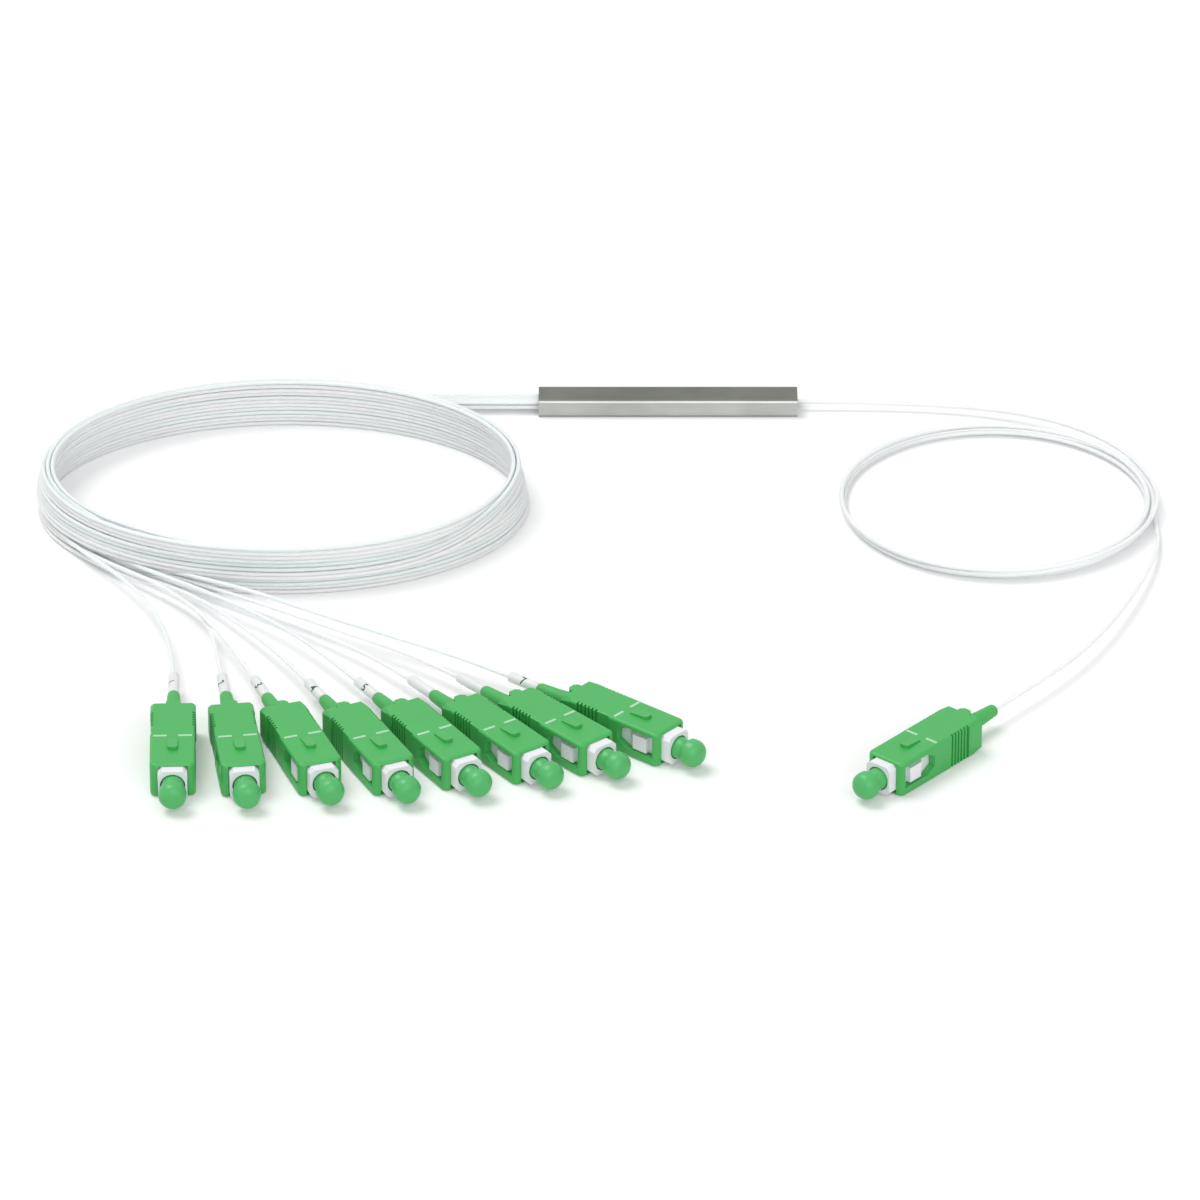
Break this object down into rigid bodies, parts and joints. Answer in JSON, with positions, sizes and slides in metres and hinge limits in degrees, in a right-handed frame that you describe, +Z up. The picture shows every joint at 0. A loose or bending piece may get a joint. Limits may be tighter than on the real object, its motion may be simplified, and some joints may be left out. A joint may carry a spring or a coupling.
{
  "type": "plc fibre splitter",
  "caption": "Mini steel-tube planar fibre splitter, its thin round cords wound in two coils and ended with square push-pull plugs under dust caps",
  "frame": {"origin": "Middle of the steel tube's underside, on the surface that everything lies on.", "axes": "+X runs along the steel tube towards the input cord, +Y away from the plugs, +Z up."},
  "size_m": [0.2332, 0.1762, 0.0108],
  "materials": {
    "tube_steel": "satin stainless steel, drawn along its length",
    "epoxy": "cured dark resin",
    "silica_glass": "polished",
    "cord_jacket": "smooth semi-matt jacket",
    "grip_plastic": "moulded, soft gloss",
    "frame_plastic": "moulded, fine matt",
    "zirconia": "ground and polished",
    "boot_rubber": "moulded, matt",
    "cap_plastic": "soft translucent, moulded",
    "stop_metal": "nickel plated",
    "spring_steel": "drawn wire",
    "sleeve_plastic": "semi-matt"
  },
  "bodies": {
    "root": {"steel_tube": "tube_steel", "end_plug_in": "epoxy", "end_plug_out": "epoxy", "plc_chip": "silica_glass", "fibre_array_in": "silica_glass", "fibre_array_out": "silica_glass", "output_coil": "cord_jacket", "input_coil": "cord_jacket", "output_leads": "cord_jacket", "output_tails": "cord_jacket", "input_lead": "cord_jacket", "input_tail": "cord_jacket", "plug_frame_1": "frame_plastic", "boot_1": "boot_rubber", "plug_frame_2": "frame_plastic", "boot_2": "boot_rubber", "plug_frame_3": "frame_plastic", "boot_3": "boot_rubber", "plug_frame_4": "frame_plastic", "boot_4": "boot_rubber", "plug_frame_5": "frame_plastic", "boot_5": "boot_rubber", "plug_frame_6": "frame_plastic", "boot_6": "boot_rubber", "plug_frame_7": "frame_plastic", "boot_7": "boot_rubber", "plug_frame_8": "frame_plastic", "boot_8": "boot_rubber", "plug_frame_9": "frame_plastic", "boot_9": "boot_rubber", "stop_bodies": "stop_metal", "ferrule_springs": "spring_steel", "marker_sleeves": "sleeve_plastic"},
    "grip_1": {"grip_1": "grip_plastic"},
    "ferrule_1": {"ferrule_1": "zirconia"},
    "cap_1": {"dust_cap_1": "cap_plastic"},
    "grip_2": {"grip_2": "grip_plastic"},
    "ferrule_2": {"ferrule_2": "zirconia"},
    "cap_2": {"dust_cap_2": "cap_plastic"},
    "grip_3": {"grip_3": "grip_plastic"},
    "ferrule_3": {"ferrule_3": "zirconia"},
    "cap_3": {"dust_cap_3": "cap_plastic"},
    "grip_4": {"grip_4": "grip_plastic"},
    "ferrule_4": {"ferrule_4": "zirconia"},
    "cap_4": {"dust_cap_4": "cap_plastic"},
    "grip_5": {"grip_5": "grip_plastic"},
    "ferrule_5": {"ferrule_5": "zirconia"},
    "cap_5": {"dust_cap_5": "cap_plastic"},
    "grip_6": {"grip_6": "grip_plastic"},
    "ferrule_6": {"ferrule_6": "zirconia"},
    "cap_6": {"dust_cap_6": "cap_plastic"},
    "grip_7": {"grip_7": "grip_plastic"},
    "ferrule_7": {"ferrule_7": "zirconia"},
    "cap_7": {"dust_cap_7": "cap_plastic"},
    "grip_8": {"grip_8": "grip_plastic"},
    "ferrule_8": {"ferrule_8": "zirconia"},
    "cap_8": {"dust_cap_8": "cap_plastic"},
    "grip_9": {"grip_9": "grip_plastic"},
    "ferrule_9": {"ferrule_9": "zirconia"},
    "cap_9": {"dust_cap_9": "cap_plastic"}
  },
  "joints": [
    {"name": "grip_slide_1", "type": "slide", "parent": "root", "child": "grip_1", "axis": [0.0349, -0.9994, 0], "range_m": [-0.0019, 0]},
    {"name": "grip_slide_2", "type": "slide", "parent": "root", "child": "grip_2", "axis": [0.1392, -0.9903, 0], "range_m": [-0.0019, 0]},
    {"name": "grip_slide_3", "type": "slide", "parent": "root", "child": "grip_3", "axis": [0.342, -0.9397, 0], "range_m": [-0.0019, 0]},
    {"name": "grip_slide_4", "type": "slide", "parent": "root", "child": "grip_4", "axis": [0.4305, -0.9026, 0], "range_m": [-0.0019, 0]},
    {"name": "grip_slide_5", "type": "slide", "parent": "root", "child": "grip_5", "axis": [0.515, -0.8572, 0], "range_m": [-0.0019, 0]},
    {"name": "grip_slide_6", "type": "slide", "parent": "root", "child": "grip_6", "axis": [0.5878, -0.809, 0], "range_m": [-0.0019, 0]},
    {"name": "grip_slide_7", "type": "slide", "parent": "root", "child": "grip_7", "axis": [0.6626, -0.749, 0], "range_m": [-0.0019, 0]},
    {"name": "grip_slide_8", "type": "slide", "parent": "root", "child": "grip_8", "axis": [0.7604, -0.6494, 0], "range_m": [-0.0019, 0]},
    {"name": "grip_slide_9", "type": "slide", "parent": "root", "child": "grip_9", "axis": [-0.6561, -0.7547, 0], "range_m": [-0.0019, 0]},
    {"name": "ferrule_float_1", "type": "slide", "parent": "root", "child": "ferrule_1", "axis": [0.0349, -0.9994, 0], "range_m": [-0.001, 0], "stiffness_N_per_m": 1000},
    {"name": "ferrule_float_2", "type": "slide", "parent": "root", "child": "ferrule_2", "axis": [0.1392, -0.9903, 0], "range_m": [-0.001, 0], "stiffness_N_per_m": 1000},
    {"name": "ferrule_float_3", "type": "slide", "parent": "root", "child": "ferrule_3", "axis": [0.342, -0.9397, 0], "range_m": [-0.001, 0], "stiffness_N_per_m": 1000},
    {"name": "ferrule_float_4", "type": "slide", "parent": "root", "child": "ferrule_4", "axis": [0.4305, -0.9026, 0], "range_m": [-0.001, 0], "stiffness_N_per_m": 1000},
    {"name": "ferrule_float_5", "type": "slide", "parent": "root", "child": "ferrule_5", "axis": [0.515, -0.8572, 0], "range_m": [-0.001, 0], "stiffness_N_per_m": 1000},
    {"name": "ferrule_float_6", "type": "slide", "parent": "root", "child": "ferrule_6", "axis": [0.5878, -0.809, 0], "range_m": [-0.001, 0], "stiffness_N_per_m": 1000},
    {"name": "ferrule_float_7", "type": "slide", "parent": "root", "child": "ferrule_7", "axis": [0.6626, -0.749, 0], "range_m": [-0.001, 0], "stiffness_N_per_m": 1000},
    {"name": "ferrule_float_8", "type": "slide", "parent": "root", "child": "ferrule_8", "axis": [0.7604, -0.6494, 0], "range_m": [-0.001, 0], "stiffness_N_per_m": 1000},
    {"name": "ferrule_float_9", "type": "slide", "parent": "root", "child": "ferrule_9", "axis": [-0.6561, -0.7547, 0], "range_m": [-0.001, 0], "stiffness_N_per_m": 1000},
    {"name": "cap_pull_1", "type": "slide", "parent": "ferrule_1", "child": "cap_1", "axis": [0.0349, -0.9994, 0], "range_m": [0, 0.012]},
    {"name": "cap_pull_2", "type": "slide", "parent": "ferrule_2", "child": "cap_2", "axis": [0.1392, -0.9903, 0], "range_m": [0, 0.012]},
    {"name": "cap_pull_3", "type": "slide", "parent": "ferrule_3", "child": "cap_3", "axis": [0.342, -0.9397, 0], "range_m": [0, 0.012]},
    {"name": "cap_pull_4", "type": "slide", "parent": "ferrule_4", "child": "cap_4", "axis": [0.4305, -0.9026, 0], "range_m": [0, 0.012]},
    {"name": "cap_pull_5", "type": "slide", "parent": "ferrule_5", "child": "cap_5", "axis": [0.515, -0.8572, 0], "range_m": [0, 0.012]},
    {"name": "cap_pull_6", "type": "slide", "parent": "ferrule_6", "child": "cap_6", "axis": [0.5878, -0.809, 0], "range_m": [0, 0.012]},
    {"name": "cap_pull_7", "type": "slide", "parent": "ferrule_7", "child": "cap_7", "axis": [0.6626, -0.749, 0], "range_m": [0, 0.012]},
    {"name": "cap_pull_8", "type": "slide", "parent": "ferrule_8", "child": "cap_8", "axis": [0.7604, -0.6494, 0], "range_m": [0, 0.012]},
    {"name": "cap_pull_9", "type": "slide", "parent": "ferrule_9", "child": "cap_9", "axis": [-0.6561, -0.7547, 0], "range_m": [0, 0.012]}
  ]
}
